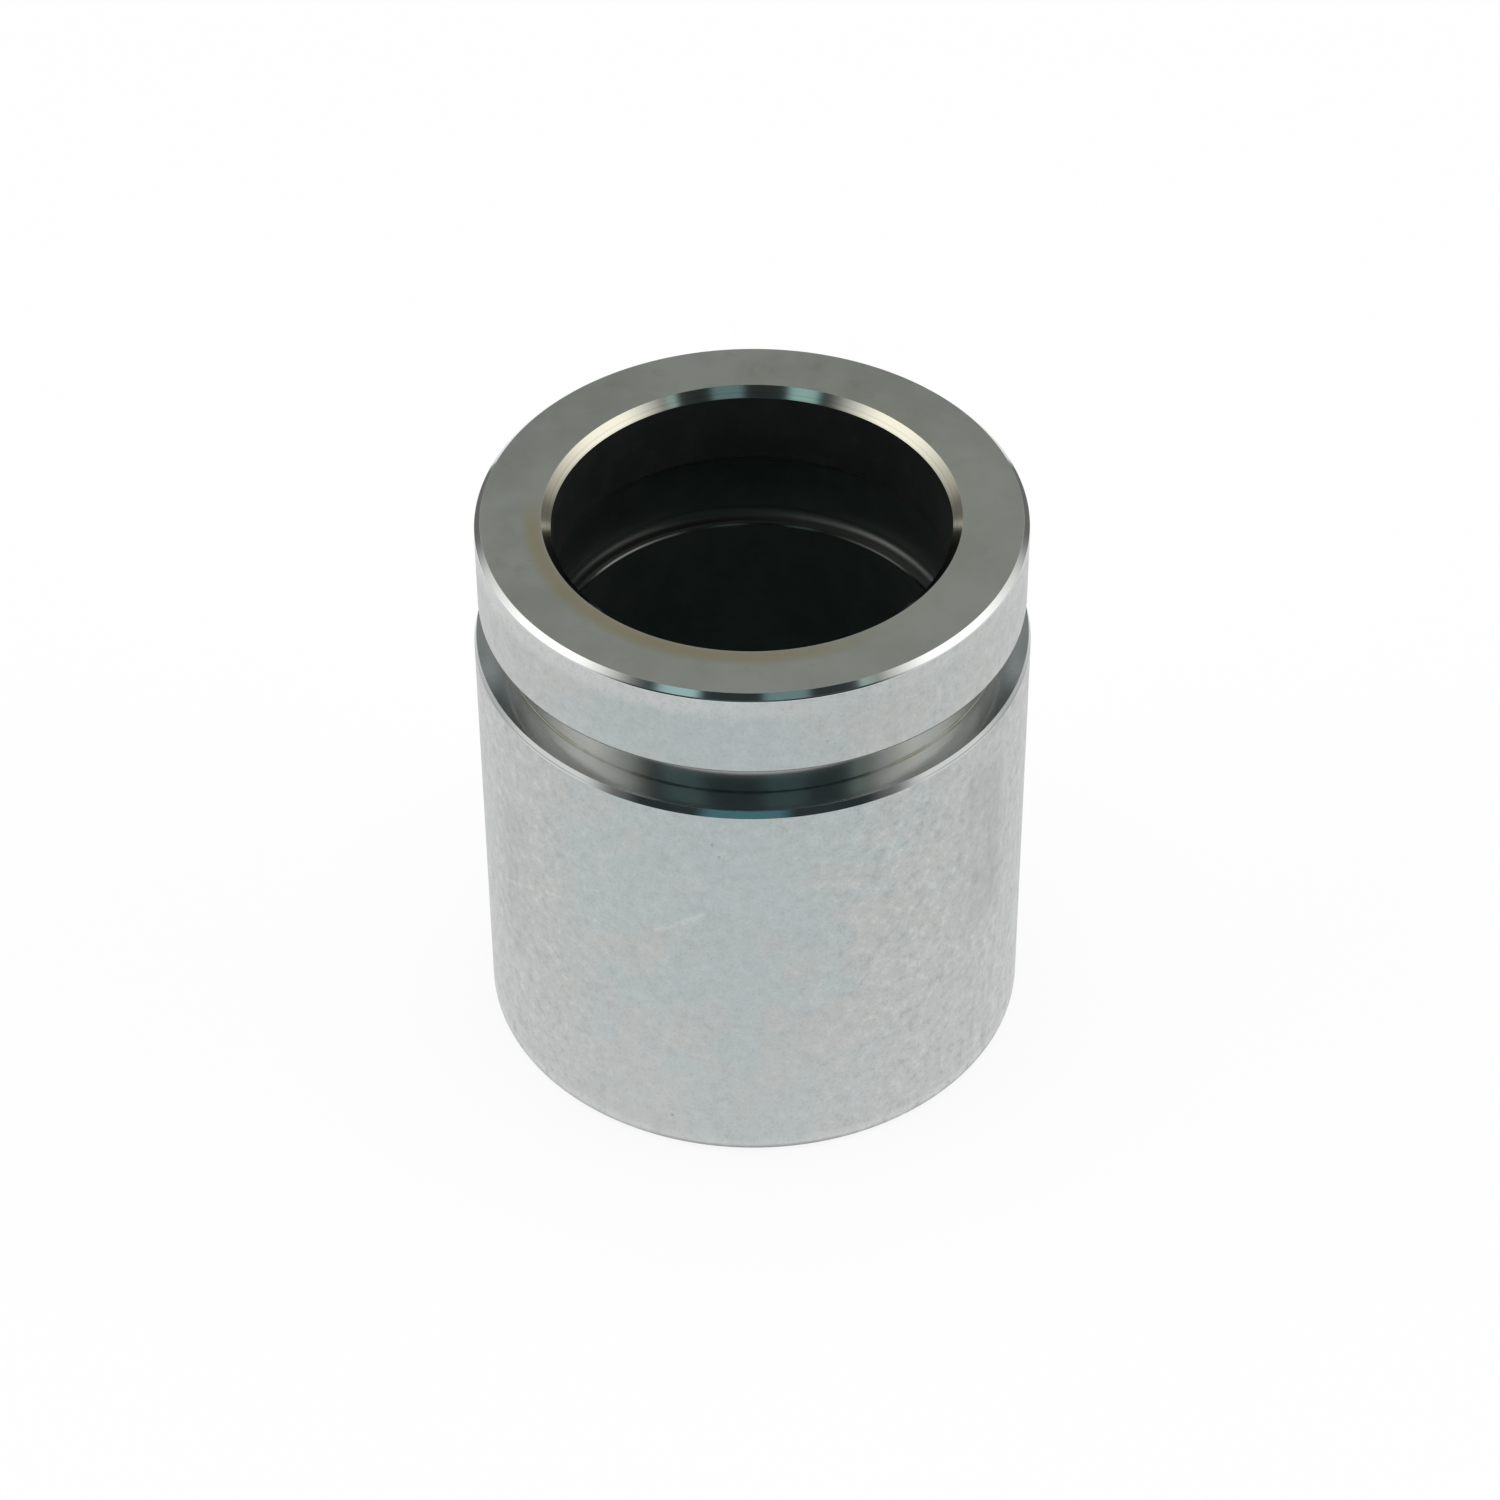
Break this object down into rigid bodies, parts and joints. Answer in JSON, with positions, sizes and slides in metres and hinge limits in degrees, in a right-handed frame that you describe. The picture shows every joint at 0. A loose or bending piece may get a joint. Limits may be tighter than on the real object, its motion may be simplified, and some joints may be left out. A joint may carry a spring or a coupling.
{
  "type": "brake caliper piston",
  "caption": "Turned steel cup piston with a plain cylindrical wall, a thick closed base, a boot groove near its open end and a chamfered, undercut mouth.",
  "frame": {"origin": "centre of the closed base's flat outer face", "axes": "+Z along the piston's axis, from the closed base to the open mouth; X and Y are free, because the part is turned"},
  "size_m": [0.048, 0.048, 0.053],
  "materials": {
    "plated_steel": "bright zinc plating over fine turned steel, satin on the walls and glossy on the chamfers"
  },
  "bodies": {
    "root": {"piston": "plated_steel"}
  },
  "joints": []
}
